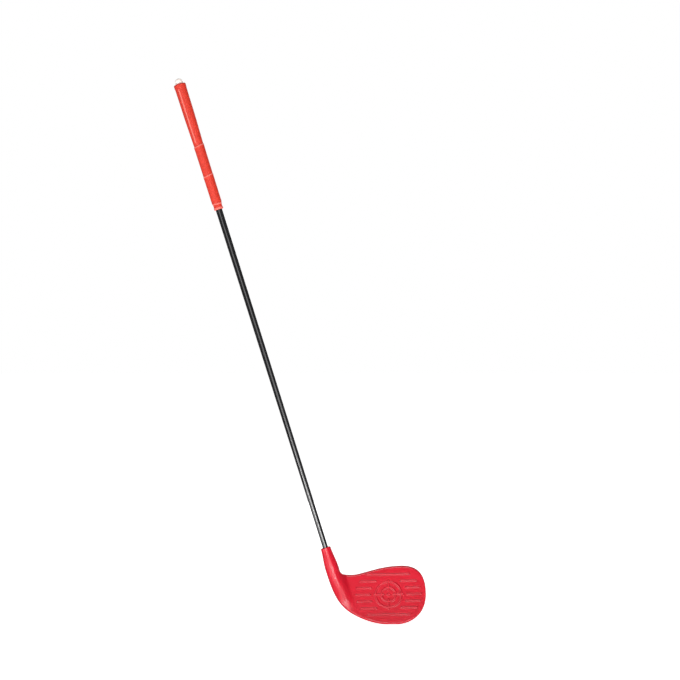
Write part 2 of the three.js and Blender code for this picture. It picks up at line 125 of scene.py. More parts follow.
# Shaft
SHAFT_TIP = BORE_BOTTOM + GAP + BUSH_FLOOR + GAP
SHAFT_BUTT = 901.0
SHAFT_TIP_RADIUS = 4.25
SHAFT_BUTT_RADIUS = 5.8
SHAFT_WALL = 0.7

# Grip
GRIP_MOUTH = 694.5
COLLAR_TOP = 705.0
LOWER_JOINT = 752.0
UPPER_JOINT = 802.0
GRIP_TOP = 905.0
JOINT_TILT = math.radians(9)
COLLAR_MOUTH_RADIUS = 7.6
COLLAR_WAIST_RADIUS = 7.0
COLLAR_TOP_RADIUS = 7.5
HAND_SLEEVE_FOOT_RADIUS = 8.2
MIDDLE_SLEEVE_TOP_RADIUS = 8.6
LOWER_SLEEVE_TOP_RADIUS = 8.5
UPPER_SLEEVE_FOOT_RADIUS = 7.9
GRIP_BUTT_RADIUS = 9.8
GRIP_LINER = 1.1
GRIP_WEB_LOW = SHAFT_BUTT + GAP
STEM_RADIUS = 2.6
RIB_ANGLE = math.radians(-22)
RIB_HEIGHT = 0.75
RIB_HALF_WIDTH = 1.4
CAP_RADIUS = 6.2
CAP_APEX = 913.95
CAP_STEM_LENGTH = 14.0
ROUND_SEGMENTS = 160
ROUND_ANGLES = np.linspace(0, 2 * math.pi, ROUND_SEGMENTS, endpoint=False)
FILLET_STEPS = 6


def smoothstep(value, low, high):
    share = np.clip((value - low) / (high - low), 0.0, 1.0)
    return share * share * (3 - 2 * share)


def lerp(a, b, share):
    return a + (b - a) * share


# Meshes ----------------------------------------------------------------------------------------


def new_piece(name, vertices, faces):
    """A smooth-shaded object from millimetre vertices."""
    mesh = bpy.data.meshes.new(name)
    mesh.from_pydata((np.asarray(vertices) * MM).tolist(), [], faces)
    mesh.validate()
    mesh.shade_smooth()
    piece = bpy.data.objects.new(name, mesh)
    bpy.context.scene.collection.objects.link(piece)
    return piece


def grid_faces(rows, columns):
    """Quads between rows of a grid whose columns close on themselves."""
    quads = []
    for row in range(rows - 1):
        for column in range(columns):
            following = (column + 1) % columns
            quads.append(
                (
                    row * columns + column,
                    row * columns + following,
                    (row + 1) * columns + following,
                    (row + 1) * columns + column,
                )
            )
    return quads


def lofted(name, loops):
    """Joins matching loops into a closed piece, each end closed by a fan to its centre."""
    rows, columns, _ = loops.shape
    vertices = np.vstack([loops.reshape(-1, 3), loops[0].mean(0), loops[-1].mean(0)])
    first, last = rows * columns, rows * columns + 1
    faces = [(a, d, c, b) for a, b, c, d in grid_faces(rows, columns)]
    low = (rows - 1) * columns
    for column in range(columns):
        following = (column + 1) % columns
        faces.append((first, column, following))
        faces.append((last, low + following, low + column))
    return new_piece(name, vertices, faces)


def apply_boolean(piece, operand, operation):
    """Applies one boolean and removes the operand."""
    modifier = piece.modifiers.new("cut", "BOOLEAN")
    modifier.operation = operation
    modifier.solver = "MANIFOLD"
    modifier.object = operand
    depsgraph = bpy.context.evaluated_depsgraph_get()
    result = bpy.data.meshes.new_from_object(piece.evaluated_get(depsgraph))
    piece.modifiers.clear()
    piece.data = result
    bpy.data.objects.remove(operand)


def copy_of(piece, name):
    twin = bpy.data.objects.new(name, piece.data.copy())
    bpy.context.scene.collection.objects.link(twin)
    return twin


def shaft_to_world(points):
    """From the shaft's own frame (across, back, along) to the object's frame, in millimetres."""
    across, back, along = np.moveaxis(np.asarray(points, float), -1, 0)
    x = SHAFT_FOOT_X + across * math.cos(LEAN) - along * math.sin(LEAN)
    z = across * math.sin(LEAN) + along * math.cos(LEAN)
    return np.stack([x, back, z], -1)


def rounded_profile(corners):
    """A closed outline from (radius, place, fillet) corners, each turned by a smooth curve."""
    points = []
    count = len(corners)
    for index, (radius, place, fillet) in enumerate(corners):
        here = np.array([radius, place])
        before = np.array(corners[index - 1][:2]) - here
        after = np.array(corners[(index + 1) % count][:2]) - here
        if fillet == 0:
            points.append(here)
            continue
        start = here + before / np.linalg.norm(before) * min(fillet, np.linalg.norm(before) / 2)
        end = here + after / np.linalg.norm(after) * min(fillet, np.linalg.norm(after) / 2)
        for share in np.linspace(0, 1, FILLET_STEPS):
            points.append((1 - share) ** 2 * start + 2 * share * (1 - share) * here + share**2 * end)
    return np.array(points)


def subdivided(profile, longest):
    """Adds points so that no stretch of a closed outline is longer than the given length."""
    points = []
    for here, there in zip(profile, np.roll(profile, -1, 0)):
        pieces = max(1, math.ceil(np.linalg.norm(there - here) / longest))
        points.extend(lerp(here, there, share) for share in np.arange(pieces) / pieces)
    return np.array(points)


def turned(name, profile, tilt=None, swell=None):
    """A closed outline of (radius, place) turned about the shaft's line.

    tilt(place) tilts the rings as seen from the front; swell(angle, place) adds to the radius.
    """
    radius, place = profile[:, 0][:, None], profile[:, 1][:, None]
    if swell is not None:
        radius = radius + swell(ROUND_ANGLES[None, :], radius, place)
    across = radius * np.sin(ROUND_ANGLES)
    back = -radius * np.cos(ROUND_ANGLES)
    along = place + np.zeros_like(across)
    if tilt is not None:
        along = along + across * np.tan(tilt(place))
    rings = shaft_to_world(np.stack([across, back, along], -1))
    vertices = rings.reshape(-1, 3)
    faces = grid_faces(len(profile), ROUND_SEGMENTS)
    last = (len(profile) - 1) * ROUND_SEGMENTS
    for column in range(ROUND_SEGMENTS):
        following = (column + 1) % ROUND_SEGMENTS
        faces.append((last + column, last + following, following, column))
    piece = new_piece(name, vertices, faces)
    fix_normals(piece)
    return piece


def turned_solid(name, profile):
    """An open outline from axis to axis, turned about the shaft's line."""
    inner = profile[1:-1]
    across = inner[:, 0][:, None] * np.sin(ROUND_ANGLES)
    back = -inner[:, 0][:, None] * np.cos(ROUND_ANGLES)
    along = inner[:, 1][:, None] + np.zeros_like(across)
    rings = shaft_to_world(np.stack([across, back, along], -1)).reshape(-1, 3)
    ends = shaft_to_world([[0, 0, profile[0][1]], [0, 0, profile[-1][1]]])
    vertices = np.vstack([rings, ends])
    faces = grid_faces(len(inner), ROUND_SEGMENTS)
    first, last = len(rings), len(rings) + 1
    low = (len(inner) - 1) * ROUND_SEGMENTS
    for column in range(ROUND_SEGMENTS):
        following = (column + 1) % ROUND_SEGMENTS
        faces.append((first, following, column))
        faces.append((last, low + column, low + following))
    piece = new_piece(name, vertices, faces)
    fix_normals(piece)
    return piece


def fix_normals(piece):
    work = bmesh.new()
    work.from_mesh(piece.data)
    bmesh.ops.recalc_face_normals(work, faces=work.faces)
    work.to_mesh(piece.data)
    work.free()


def mark_crest(piece, shares):
    """Stores how far up a raised feature each point of a piece lies, from 0 to 1; the materials paint
    shade and highlight by it.
    """
    crest = piece.data.attributes.new("crest", "FLOAT", "POINT")
    crest.data.foreach_set("value", shares)


def mark_turned(piece, profile, share):
    """Marks each point of a turned piece by share(angle, radius, place)."""
    shares = share(ROUND_ANGLES[None, :], profile[:, 0][:, None], profile[:, 1][:, None])
    mark_crest(piece, (shares + np.zeros((len(profile), ROUND_SEGMENTS))).ravel())


# Head ------------------------------------------------------------------------------------------


def face_y(z):
    return LEADING_EDGE_Y + math.tan(LOFT) * z


def bezier(points, share):
    """Places along one cubic span, for an array of shares."""
    a, b, c, d = (np.asarray(point, float) for point in points)
    t = share[:, None]
    return (1 - t) ** 3 * a + 3 * (1 - t) ** 2 * t * b + 3 * (1 - t) * t**2 * c + t**3 * d


def outline_edges():
    """The head's outline from the front: a top and a bottom edge with matching spans."""
    down = np.array([math.sin(LEAN), -math.cos(LEAN)])
    across = np.array([math.cos(LEAN), math.sin(LEAN)])
    along_sole = np.array([math.cos(HEEL_SLOPE), -math.sin(HEEL_SLOPE)])
    toeward = np.array([1.0, 0.0])
    upward = np.array([0.0, 1.0])

    def hosel(place, offset):
        return np.array([SHAFT_FOOT_X, 0.0]) - down * place + across * offset

    def span(start, start_way, start_pull, end, end_way, end_pull):
        return (start, start + start_way * start_pull, end - end_way * end_pull, end)

    def edge(side, corner, corner_way, pulls, far):
        rim = hosel(HOSEL_TOP, side * HOSEL_TOP_RADIUS)
        low = hosel(HOSEL_TOP - HOSEL_FLARE_LENGTH, side * HOSEL_RADIUS)
        third = HOSEL_FLARE_LENGTH / 3
        return [
            span(rim, down, third, low, down, third),
            span(low, down, pulls[0], corner, corner_way, pulls[1]),
            span(corner, corner_way, pulls[2], far, toeward, pulls[3]),
            span(far, toeward, pulls[4], HEAD_TOE, upward, -side * pulls[5]),
        ]

    top = edge(1, CROTCH, toeward, (8, 19, 18, 39, 31, 24), HEAD_TOP)
    bottom = edge(-1, HEEL, along_sole, (31, 23, 14, 33, 38, 25), SOLE_LOW)
    return top, bottom


def on_edge(edge, stations):
    span = np.minimum(np.floor(stations).astype(int), len(edge) - 1)
    places = np.zeros((len(stations), 2))
    for index, points in enumerate(edge):
        here = span == index
        places[here] = bezier(points, stations[here] - index)
    return places


def level_ended(offset, roundness):
    """An even curve from 0 in the middle to 1 at the edge, level at both."""
    return roundness * offset**2 + (3 - 2 * roundness) * offset**4 + (roundness - 2) * offset**6


def hosel_bulge(x, z):
    """How far the hosel's round front stands out of the face as it runs on down the heel."""
    toeward = (x - SHAFT_FOOT_X) * math.cos(LEAN) + z * math.sin(LEAN)
    up_shaft = z * math.cos(LEAN) - (x - SHAFT_FOOT_X) * math.sin(LEAN)
    offset = np.minimum(np.abs(toeward) / HOSEL_BULGE_REACH, 1)
    fall = level_ended(offset, HOSEL_BULGE_ROUNDNESS)
    fade = smoothstep(up_shaft, HOSEL_BULGE_END, HOSEL_BULGE_TOP)
    return np.maximum(face_y(z) + HOSEL_RADIUS, 0) * fade * (1 - fall)


def back_reach(x):
    """How far back the head reaches, fullest at BACK_X."""
    reach = np.where(x > BACK_X, HEAD_TOE[0] - BACK_X, BACK_REACH_TO_HEEL)
    share = np.minimum(np.abs(x - BACK_X) / reach, 1)
    start = face_y(HEAD_TOE[1]) + FACE_EDGE
    return lerp(start, BACK_Y, np.sqrt(1 - share**BACK_ROUNDNESS))


def section_loops(stations, wall, back_steps, corner_steps, face_steps):
    """Cross-sections of the head from hosel to toe, an array of (station, loop point, xyz).

    Each runs from the top edge round the back to the bottom edge and up the face.
    """
    top_edge, bottom_edge = outline_edges()
    top, bottom = on_edge(top_edge, stations), on_edge(bottom_edge, stations)
    middle = (top + bottom) / 2
    chord = np.linalg.norm(top - bottom, axis=1)
    topward = (top - bottom) / chord[:, None]
    from_rim = np.minimum(stations * HOSEL_FLARE_LENGTH / RIM_ROUNDING, 1)
    rounded = RIM_ROUNDING * (1 - np.sqrt(from_rim * (2 - from_rim)))
    half = (chord / 2 - wall - rounded)[:, None]
    round_depth = np.minimum(half, HOSEL_RADIUS - wall)
    body_share = smoothstep(stations, 1, BODY_STATION)[:, None]
    edge = np.minimum(FACE_EDGE, half)
    front = PLATE_THICKNESS if wall > 0 else 0.0

    def place(along):
        return middle[:, None, :] + topward[:, None, :] * along[:, :, None]

    turn = np.pi * np.arange(back_steps)[None, :] / back_steps
    sag = BACK_SAG * body_share * np.sin(turn) ** 2
    back_xz = place(half * (np.cos(turn) - sag))
    x, z = back_xz[..., 0], back_xz[..., 1]
    body_y = lerp(
        face_y(z) + edge + front - hosel_bulge(x, z),
        (back_reach(middle[:, 0]) - wall)[:, None],
        np.sin(turn) ** BACK_FULLNESS,
    )
    back_y = lerp(round_depth * np.sin(turn), body_y, body_share)

    front_steps = face_steps + 2 * corner_steps
    step = np.arange(front_steps)[None, :]
    turn = np.pi * (1 + step / front_steps)
    from_end = np.minimum(step, front_steps - step) / corner_steps
    corner = (np.pi / 2) * np.minimum(from_end, 1)
    side = np.where(step < front_steps / 2, -1, 1)
    in_corner = from_end < 1
    flat_share = np.where(in_corner, side, lerp(-1, 1, (step - corner_steps) / face_steps))
    along = flat_share * (half - edge) + np.where(in_corner, side * edge * np.cos(corner), 0)
    front_xz = place(lerp(half * np.cos(turn), along, body_share))
    x, z = front_xz[..., 0], front_xz[..., 1]
    body_y = face_y(z) + front + edge * (1 - np.sin(corner)) - hosel_bulge(x, z)
    front_y = lerp(round_depth * np.sin(turn), body_y, body_share)

    xz = np.concatenate([back_xz, front_xz], 1)
    y = np.concatenate([back_y, front_y], 1)
    return np.stack([xz[..., 0], y, xz[..., 1]], -1)


FACE_UP = np.array([0.0, math.sin(LOFT), math.cos(LOFT)])
FACE_OUT = np.array([0.0, -math.cos(LOFT), math.sin(LOFT)])
TARGET = np.array([TARGET_X, face_y(TARGET_Z), TARGET_Z])


def face_frame():
    """The face's own frame: X to the toe, Y up the face, Z out of it, tilted as the relief is."""
    to_toe = np.array([1.0, 0.0, 0.0])
    x_axis = to_toe * math.cos(RELIEF_TILT) + FACE_UP * math.sin(RELIEF_TILT)
    y_axis = FACE_UP * math.cos(RELIEF_TILT) - to_toe * math.sin(RELIEF_TILT)
    return np.stack([x_axis, y_axis, FACE_OUT])


def relief_height(points):
    """Height of the raised lines at places on the face, by the nearest line's distance."""
    local = (points - TARGET) @ face_frame().T
    u, v, out = local[..., 0], local[..., 1], local[..., 2]

    def ridge(distance):
        return smoothstep(-distance, -RIDGE_FOOT_HALF, -RIDGE_TOP_HALF)

    def line(u0, u1, across_u, across_v):
        return ridge(np.hypot(across_u - np.clip(across_u, u0, u1), across_v))

    height = np.zeros_like(u)
    for row in range(-ROWS_EACH_SIDE, ROWS_EACH_SIDE + 1):
        row_v = row * ROW_PITCH
        reach = ROW_REACH * math.sqrt(1 - (row / (ROWS_EACH_SIDE + 1)) ** 2) - RIDGE_FOOT_HALF / 2
        if abs(row_v) > CLEAR_RADIUS:
            height = np.maximum(height, line(-reach, reach, u, v - row_v))
            continue
        clear = math.sqrt(CLEAR_RADIUS**2 - row_v**2) + RIDGE_FOOT_HALF / 2
        height = np.maximum(height, line(-reach, -clear, u, v - row_v))
        height = np.maximum(height, line(clear, reach, u, v - row_v))
    radius = np.hypot(u, v)
    for ring in RING_RADII:
        height = np.maximum(height, ridge(np.abs(radius - ring)))
    for arm_u, arm_v in ((u, v), (-u, v), (v, u), (-v, u)):
        height = np.maximum(height, line(ARM_START, ARM_END, arm_u, arm_v))
    height = np.maximum(height, ridge(radius - CENTRE_DOT_RADIUS))
    # The lines end where the skin turns away from the face
    on_face = smoothstep(out, -0.5, -0.1)
    return RELIEF_HEIGHT * height * on_face


def mark_ridges(plate):
    """Marks how far up a raised line each point of the plate lies."""
    places = np.zeros(len(plate.data.vertices) * 3)
    plate.data.vertices.foreach_get("co", places)
    height = relief_height(places.reshape(-1, 3) / MM)
    mark_crest(plate, height / RELIEF_HEIGHT)


def plate_prism(name, grow):
    """A prism standing on the face that encloses the plate.

    Its heel side is the seam, which runs beside the hosel's bulge, parallel to the shaft.
    """
    to_face = face_frame()
    seam = []
    for z in (TARGET_Z - PLATE_ROOM, TARGET_Z + PLATE_ROOM):
        x = SHAFT_FOOT_X - z * math.tan(LEAN) + (PLATE_SEAM_OFFSET - grow) / math.cos(LEAN)
        seam.append(to_face @ (np.array([x, face_y(z), z]) - TARGET))
    foot, head = seam
    plan = np.array([foot[:2], (PLATE_ROOM, foot[1]), (PLATE_ROOM, head[1]), head[:2]])
    rings = [
        TARGET + np.column_stack([plan, np.full(len(plan), out)]) @ to_face
        for out in (-PLATE_THICKNESS - grow, PLATE_PRISM_HEIGHT)
    ]
    prism = lofted(name, np.array(rings))
    fix_normals(prism)
    return prism


def box_piece(name, low, high):
    x_ends, y_ends, z_ends = zip(low, high)
    corners = [(x, y, z) for z in z_ends for y in y_ends for x in x_ends]
    faces = [(0, 2, 3, 1), (4, 5, 7, 6), (0, 1, 5, 4), (2, 6, 7, 3), (0, 4, 6, 2), (1, 3, 7, 5)]
    return new_piece(name, corners, faces)


def head_stations():
    """Stations of the skin's cross-sections, closest at the rim, over the raised lines and at the toe."""
    rim_end = RIM_ROUNDING / HOSEL_FLARE_LENGTH
    return np.concatenate(
        [
            rim_end * np.linspace(0, 1, 8, endpoint=False) ** 2,
            np.linspace(rim_end, 1, 18, endpoint=False),
            np.linspace(1, 2, 60, endpoint=False),
            np.linspace(2, 3, 190, endpoint=False),
            np.linspace(3, 4 - TOE_LENGTH, 140, endpoint=False),
            4 - np.geomspace(TOE_LENGTH, 0.0015, 14),
        ]
    )


def make_bore():
    """The room for the bush, widening at the mouth and running on past the rim."""
    end = HOSEL_TOP + BORE_OVERRUN
    profile = [
        (0, BORE_BOTTOM),
        (BORE_RADIUS, BORE_BOTTOM),
        (BORE_RADIUS, HOSEL_TOP - MOUTH_DEPTH),
        (MOUTH_RADIUS, end),
        (0, end),
    ]
    return turned_solid("bore", np.array(profile))


def make_head():
    """The face plate and the hollow body behind it, cut from one smooth skin."""
    loops = section_loops(head_stations(), 0.0, *SKIN_STEPS)
    loops = loops + relief_height(loops)[..., None] * FACE_OUT
    skin = lofted("head_skin", loops)
    fix_normals(skin)
    # Everything under the ground is cut away, which leaves the sole's flat
    below_ground = box_piece("below", (-200, -100, -20), (200, 100, 0))
    apply_boolean(skin, below_ground, "DIFFERENCE")

    body = copy_of(skin, "head_body")
    apply_boolean(body, plate_prism("plate_room", PLATE_SEAM), "DIFFERENCE")
    hollow_stations = np.linspace(HOLLOW_START, HOLLOW_END, 60)
    hollow = lofted("hollow", section_loops(hollow_stations, HEAD_WALL, *HOLLOW_STEPS))
    fix_normals(hollow)
    apply_boolean(body, hollow, "DIFFERENCE")
    apply_boolean(body, make_bore(), "DIFFERENCE")

    plate = skin
    plate.name = "face_plate"
    apply_boolean(plate, plate_prism("plate_shape", 0.0), "INTERSECT")
    mark_ridges(plate)
    return plate, body


# Shaft and grip --------------------------------------------------------------------------------


def shaft_radius(place):
    share = (place - SHAFT_TIP) / (SHAFT_BUTT - SHAFT_TIP)
    return lerp(SHAFT_TIP_RADIUS, SHAFT_BUTT_RADIUS, share)


def make_shaft():
    corners = [
        (shaft_radius(SHAFT_TIP), SHAFT_TIP, 0.3),
        (shaft_radius(SHAFT_BUTT), SHAFT_BUTT, 0.3),
        (shaft_radius(SHAFT_BUTT) - SHAFT_WALL, SHAFT_BUTT, 0.1),
        (shaft_radius(SHAFT_TIP) - SHAFT_WALL, SHAFT_TIP, 0.1),
    ]
    return turned("shaft", subdivided(rounded_profile(corners), 12.0))


def grip_inside(place):
    return shaft_radius(place) + GRIP_LINER


def rib_share(angle, radius, place):
    """How much of the upper sleeve's rib stands at a place, from 0 to 1."""
    offset = np.angle(np.exp(1j * (angle - RIB_ANGLE))) * radius
    across = np.exp(-((offset / RIB_HALF_WIDTH) ** 4))
    start = smoothstep(place, UPPER_JOINT + 1, UPPER_JOINT + 6)
    end = smoothstep(-place, -(GRIP_TOP - 5), -(GRIP_TOP - 12))
    outside = smoothstep(radius, UPPER_SLEEVE_FOOT_RADIUS, UPPER_SLEEVE_FOOT_RADIUS + 0.2)
    return across * start * end * outside


def make_upper_sleeve():
    low = UPPER_JOINT + VISIBLE_GAP / 2
    corners = [
        (UPPER_SLEEVE_FOOT_RADIUS, low, 0.8),
        (8.2, UPPER_JOINT + 12, 5),
        (9.0, UPPER_JOINT + 45, 10),
        (9.35, GRIP_TOP - 9, 3),
        (GRIP_BUTT_RADIUS, GRIP_TOP - 5, 1.5),
        (GRIP_BUTT_RADIUS, GRIP_TOP, 3.2),
        (STEM_RADIUS + GAP, GRIP_TOP, 0.2),
        (STEM_RADIUS + GAP, GRIP_WEB_LOW, 0),
        (grip_inside(GRIP_WEB_LOW), GRIP_WEB_LOW, 0),
        (grip_inside(low), low, 0),
    ]

    def rib(angle, radius, place):
        return RIB_HEIGHT * rib_share(angle, radius, place)

    def tilt(place):
        return JOINT_TILT * smoothstep(-place, -(UPPER_JOINT + 30), -UPPER_JOINT)

    profile = subdivided(rounded_profile(corners), 1.0)
    piece = turned("upper_sleeve", profile, tilt, rib)
    mark_turned(piece, profile, rib_share)
    return piece


def make_hand_sleeve(name, low, low_tilt, high, top_radius):
    """A sleeve with a rolled lip standing at its upper joint."""
    bottom, top = low + VISIBLE_GAP / 2, high - VISIBLE_GAP / 2
    corners = [
        (HAND_SLEEVE_FOOT_RADIUS - 0.1, bottom, 0.6),
        (top_radius - 0.25, top - 4.5, 2.0),
        (top_radius, top - 2.2, 0.8),
        (top_radius, top, 1.0),
        (grip_inside(top), top, 0),
        (grip_inside(bottom), bottom, 0),
    ]

    def tilt(place):
        return lerp(low_tilt, JOINT_TILT, np.clip((place - low) / (high - low), 0, 1))

    def lip(angle, radius, place):
        near_top = smoothstep(place, top - 2.6, top - 1.6)
        outside = smoothstep(radius, top_radius - 1.2, top_radius - 0.5)
        return near_top * outside

    profile = subdivided(rounded_profile(corners), 1.0)
    piece = turned(name, profile, tilt)
    mark_turned(piece, profile, lip)
    return piece


def make_collar():
    top = COLLAR_TOP - VISIBLE_GAP / 2
    corners = [
        (6.8, GRIP_MOUTH, 0.5),
        (COLLAR_MOUTH_RADIUS, GRIP_MOUTH + 0.5, 0.7),
        (COLLAR_MOUTH_RADIUS, GRIP_MOUTH + 3.0, 0.9),
        (COLLAR_WAIST_RADIUS, GRIP_MOUTH + 3.8, 0.5),
        (COLLAR_WAIST_RADIUS, top - 2.6, 0.6),
        (COLLAR_TOP_RADIUS, top - 1.9, 0.5),
        (COLLAR_TOP_RADIUS, top, 0.5),
        (shaft_radius(top) + GAP, top, 0),
        (shaft_radius(GRIP_MOUTH) + GAP, GRIP_MOUTH, 0.3),
    ]

    def beads(angle, radius, place):
        return smoothstep(radius, COLLAR_WAIST_RADIUS + 0.1, COLLAR_WAIST_RADIUS + 0.4)

    profile = subdivided(rounded_profile(corners), 0.6)
    piece = turned("mouth_collar", profile)
    mark_turned(piece, profile, beads)
    return piece


def make_cap():
    seat = GRIP_TOP + GAP
    dome_base = CAP_APEX - CAP_RADIUS
    turn = np.linspace(0, math.pi / 2, 24)
    dome = np.stack([CAP_RADIUS * np.cos(turn), dome_base + CAP_RADIUS * np.sin(turn)], -1)
    stem_low = seat - CAP_STEM_LENGTH
    stem = [
        (0, stem_low),
        (STEM_RADIUS - 0.4, stem_low),
        (STEM_RADIUS, stem_low + 0.6),
        (STEM_RADIUS, seat),
    ]
    rim = [(CAP_RADIUS - 0.5, seat), (CAP_RADIUS - 0.12, seat + 0.14), (CAP_RADIUS, seat + 0.5)]
    return turned_solid("end_cap", np.vstack([stem, rim, dome]))


# Materials -------------------------------------------------------------------------------------


# Nearly all of a noise texture's values lie between these two.
NOISE_LOW = 0.3
NOISE_HIGH = 0.7


def linear(red, green, blue):
    """A colour from 0-255 display values."""
    return tuple(
        (v / 12.92 if v <= 0.04045 else ((v + 0.055) / 1.055) ** 2.4)
        for v in (red / 255, green / 255, blue / 255)
    ) + (1.0,)


def new_material(name):
    material = bpy.data.materials.new(name)
    material.use_nodes = True
    return material, material.node_tree, material.node_tree.nodes["Principled BSDF"]


def add_node(tree, kind, **settings):
    node = tree.nodes.new(kind)
    for key, value in settings.items():
        if key in node.inputs:
            node.inputs[key].default_value = value
        else:
            setattr(node, key, value)
    return node


def noise(tree, scale, detail):
    """Noise in object space, with its scale in features per metre."""
    place = add_node(tree, "ShaderNodeTexCoord")
    texture = add_node(tree, "ShaderNodeTexNoise", Scale=scale, Detail=detail, Roughness=0.5)
    tree.links.new(place.outputs["Object"], texture.inputs["Vector"])
    return texture.outputs["Fac"]


def mapped(tree, value, from_low, from_high, to_low, to_high):
    node = add_node(tree, "ShaderNodeMapRange")
    node.inputs["From Min"].default_value = from_low
    node.inputs["From Max"].default_value = from_high
    node.inputs["To Min"].default_value = to_low
    node.inputs["To Max"].default_value = to_high
    tree.links.new(value, node.inputs["Value"])
    return node.outputs["Result"]


def spread_noise(tree, scale, low, high, detail=4.0):
    """Noise stretched to fill the range from low to high."""
    return mapped(tree, noise(tree, scale, detail), NOISE_LOW, NOISE_HIGH, low, high)


def mixed_colour(tree, share, first, second):
    """Mixes two colours by a linked share. The first is a colour or another node's output."""
    node = add_node(tree, "ShaderNodeMix", data_type="RGBA")
    if isinstance(first, tuple):
        node.inputs[6].default_value = first
    else:
        tree.links.new(first, node.inputs[6])
    node.inputs[7].default_value = second
    tree.links.new(share, node.inputs[0])
    return node.outputs[2]


def clouded(tree, scale, first, second):
    """A colour that drifts between two, in soft clouds."""
    return mixed_colour(tree, spread_noise(tree, scale, 0.0, 1.0), first, second)


def crest_of(tree):
    """The share that mark_crest stored on the mesh, or 0 where a mesh has none."""
    return add_node(tree, "ShaderNodeAttribute", attribute_name="crest").outputs["Fac"]


def bump(tree, height, strength, distance):
    node = add_node(tree, "ShaderNodeBump", Strength=strength, Distance=distance)
    tree.links.new(height, node.inputs["Height"])
    return node.outputs["Normal"]


def set_surface(tree, shader, colour, rough, relief):
    """Links a material's colour, roughness and fine relief."""
    tree.links.new(colour, shader.inputs["Base Color"])
    tree.links.new(rough, shader.inputs["Roughness"])
    tree.links.new(relief, shader.inputs["Normal"])


def head_plastic():
    """Glossy red plastic, with painted shade on the flanks of the raised lines and a painted highlight on
    their tops.
    """
    material, tree, shader = new_material("head_plastic")
    colour = clouded(tree, 35.0, linear(186, 19, 37), linear(193, 23, 43))
    crest = crest_of(tree)
    # Painted shade: the flanks of the raised lines are mixed towards a darker red, where shade would
    # fall.
    painted_flank_shade = mapped(tree, crest, 0.0, 0.25, 0.0, 0.75)
    colour = mixed_colour(tree, painted_flank_shade, colour, linear(140, 8, 24))
    # Painted highlight: the tops of the raised lines are mixed towards a paler red, where light would
    # catch them.
    painted_highlight = mapped(tree, crest, 0.75, 1.0, 0.0, 0.8)
    colour = mixed_colour(tree, painted_highlight, colour, linear(206, 36, 52))
    rough = spread_noise(tree, 400.0, 0.2, 0.27, detail=3.0)
    grain = bump(tree, noise(tree, 1800.0, 2.0), 0.3, 0.00003)
    set_surface(tree, shader, colour, rough, grain)
    return material


def grip_rubber():
    """Moulded rubber, with a painted highlight on its rib, lips and beads."""
    material, tree, shader = new_material("grip_rubber")
    colour = clouded(tree, 60.0, linear(199, 47, 30), linear(208, 53, 35))
    # Painted highlight: the rib, the lips and the beads are mixed towards a pale pink, where light would
    # catch them.
    painted_highlight = mapped(tree, crest_of(tree), 0.3, 0.95, 0.0, 0.45)
    colour = mixed_colour(tree, painted_highlight, colour, linear(255, 150, 138))
    rough = spread_noise(tree, 500.0, 0.42, 0.55, detail=3.0)
    grain = bump(tree, noise(tree, 2500.0, 3.0), 0.2, 0.0001)
    set_surface(tree, shader, colour, rough, grain)
    return material


def shaft_lacquer():
    """Black lacquer with a clear coat, slightly rippled."""
    material, tree, shader = new_material("shaft_lacquer")
    colour = clouded(tree, 80.0, linear(14, 14, 16), linear(24, 24, 26))
    rough = spread_noise(tree, 300.0, 0.12, 0.2, detail=3.0)
    ripple = bump(tree, noise(tree, 220.0, 2.0), 0.05, 0.0003)
    set_surface(tree, shader, colour, rough, ripple)
    shader.inputs["Specular IOR Level"].default_value = 0.8
    shader.inputs["Coat Weight"].default_value = 1.0
    shader.inputs["Coat Roughness"].default_value = 0.06
    return material


def cap_plastic():
    """Warm white plastic with a soft gloss."""
    material, tree, shader = new_material("cap_plastic")
    colour = clouded(tree, 150.0, linear(250, 236, 228), linear(255, 243, 236))
    rough = spread_noise(tree, 500.0, 0.28, 0.4, detail=3.0)
    grain = bump(tree, noise(tree, 1500.0, 2.0), 0.1, 0.0002)
    set_surface(tree, shader, colour, rough, grain)
    return material


def plain_inner(name, dark, light, rough_low, rough_high, metallic=0.0):
    """A simple grained material for pieces inside the club."""
    material, tree, shader = new_material(name)
    colour = clouded(tree, 200.0, dark, light)
    rough = spread_noise(tree, 600.0, rough_low, rough_high, detail=3.0)
    grain = bump(tree, noise(tree, 1200.0, 3.0), 0.2, 0.0002)
    set_surface(tree, shader, colour, rough, grain)
    shader.inputs["Metallic"].default_value = metallic
    return material


def dress(piece, material, slot, *nodes):
    """Gives a new piece its material, and lets it stand for its CAD nodes. The slot argument is not used.
    """
    piece.data.materials.clear()
    piece.data.materials.append(material)
    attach(piece, "root")
    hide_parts(*nodes)


def dress_node(node, material):
    """Gives a CAD node that keeps its own mesh a material."""
    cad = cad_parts[node]
    for slot in cad.material_slots:
        slot.material = material


# Assembly --------------------------------------------------------------------------------------

red_plastic = head_plastic()
rubber = grip_rubber()

face_plate, head_body = make_head()
dress(face_plate, red_plastic, "head_plastic", "head_face_plate")
dress(head_body, red_plastic, "head_plastic", "head_body_shell")

dress(make_shaft(), shaft_lacquer(), "shaft_lacquer", "shaft_tube")
dress(make_upper_sleeve(), rubber, "grip_rubber", "grip_upper_sleeve")
middle_sleeve = make_hand_sleeve(
    "middle_sleeve", LOWER_JOINT, JOINT_TILT, UPPER_JOINT, MIDDLE_SLEEVE_TOP_RADIUS
)
dress(middle_sleeve, rubber, "grip_rubber", "grip_middle_sleeve")
lower_sleeve = make_hand_sleeve(
    "lower_sleeve", COLLAR_TOP, 0.0, LOWER_JOINT, LOWER_SLEEVE_TOP_RADIUS
)
dress(lower_sleeve, rubber, "grip_rubber", "grip_lower_sleeve")
dress(make_collar(), rubber, "grip_rubber", "grip_mouth_collar")
dress(make_cap(), cap_plastic(), "cap_plastic", "grip_end_cap")

